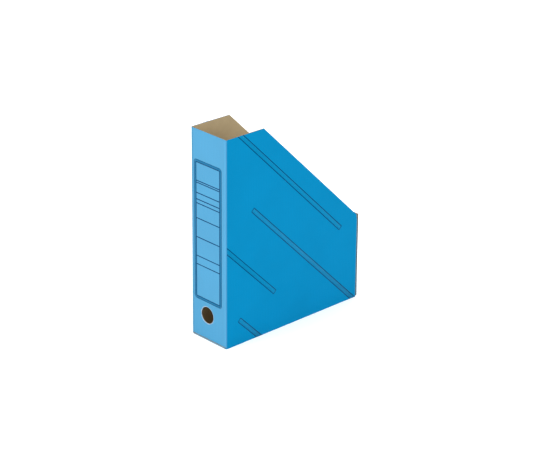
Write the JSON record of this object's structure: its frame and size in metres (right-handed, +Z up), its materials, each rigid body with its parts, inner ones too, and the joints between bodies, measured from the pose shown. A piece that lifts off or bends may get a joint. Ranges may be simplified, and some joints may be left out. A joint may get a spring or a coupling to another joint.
{
  "type": "archival box",
  "caption": "Open-topped magazine file of creased corrugated board with a slanted side, a finger hole in the spine and a fold-flat glued sleeve.",
  "frame": {"origin": "middle of the footprint, on the surface the box stands on", "axes": "+Z up; the spine with the finger hole faces -Y; the low end wall faces +Y; +X is the side with no bottom flap"},
  "size_m": [0.075, 0.2706, 0.3295],
  "materials": {
    "printed_liner": "printed, satin",
    "flute_paper": "raw kraft",
    "kraft_liner": "raw kraft"
  },
  "bodies": {
    "spine": {"spine_outer_liner": "printed_liner", "spine_fluting": "flute_paper", "spine_inner_liner": "kraft_liner"},
    "right_side": {"right_side_outer_liner": "printed_liner", "right_side_fluting": "flute_paper", "right_side_inner_liner": "kraft_liner"},
    "left_side": {"left_side_outer_liner": "printed_liner", "left_side_fluting": "flute_paper", "left_side_inner_liner": "kraft_liner"},
    "end_wall": {"end_wall_outer_liner": "printed_liner", "end_wall_fluting": "flute_paper", "end_wall_inner_liner": "kraft_liner", "glue_flap_outer_liner": "printed_liner", "glue_flap_fluting": "flute_paper", "glue_flap_inner_liner": "kraft_liner"},
    "bottom_flap": {"bottom_flap_outer_liner": "printed_liner", "bottom_flap_fluting": "flute_paper", "bottom_flap_inner_liner": "kraft_liner"},
    "tuck_tab": {"tuck_tab_outer_liner": "printed_liner", "tuck_tab_fluting": "flute_paper", "tuck_tab_inner_liner": "kraft_liner"},
    "spine_flap": {"spine_flap_outer_liner": "printed_liner", "spine_flap_fluting": "flute_paper", "spine_flap_inner_liner": "kraft_liner"},
    "end_flap": {"end_flap_outer_liner": "printed_liner", "end_flap_fluting": "flute_paper", "end_flap_inner_liner": "kraft_liner"}
  },
  "joints": [
    {"name": "fold_flat", "type": "hinge", "parent": "spine", "child": "left_side", "pos_m": [-0.0359, -0.13365, 0], "axis": [0, 0, 1], "range_deg": [0, 86]},
    {"name": "right_side_crease", "type": "hinge", "parent": "spine", "child": "right_side", "pos_m": [0.0359, -0.13365, 0], "axis": [0, 0, 1], "range_deg": [0, 86]},
    {"name": "end_wall_crease", "type": "hinge", "parent": "left_side", "child": "end_wall", "pos_m": [-0.0359, 0.13365, 0], "axis": [0, 0, -1], "range_deg": [0, 86]},
    {"name": "bottom_flap_crease", "type": "hinge", "parent": "left_side", "child": "bottom_flap", "pos_m": [-0.0359, 0, 0.0016], "axis": [0, 1, 0], "range_deg": [0, 86]},
    {"name": "tuck_tab_crease", "type": "hinge", "parent": "bottom_flap", "child": "tuck_tab", "pos_m": [0.0339, 0, 0.0016], "axis": [0, -1, 0], "range_deg": [0, 86]},
    {"name": "spine_flap_crease", "type": "hinge", "parent": "spine", "child": "spine_flap", "pos_m": [0, -0.13365, 0.0034], "axis": [-1, 0, 0], "range_deg": [0, 86]},
    {"name": "end_flap_crease", "type": "hinge", "parent": "end_wall", "child": "end_flap", "pos_m": [0, 0.13365, 0.0034], "axis": [1, 0, 0], "range_deg": [0, 86]}
  ],
  "couplings": [
    {"joint": "right_side_crease", "follows": "fold_flat", "ratio": 1},
    {"joint": "end_wall_crease", "follows": "fold_flat", "ratio": 1},
    {"joint": "bottom_flap_crease", "follows": "fold_flat", "ratio": 1},
    {"joint": "tuck_tab_crease", "follows": "fold_flat", "ratio": 1},
    {"joint": "spine_flap_crease", "follows": "fold_flat", "ratio": 1},
    {"joint": "end_flap_crease", "follows": "fold_flat", "ratio": 1}
  ]
}
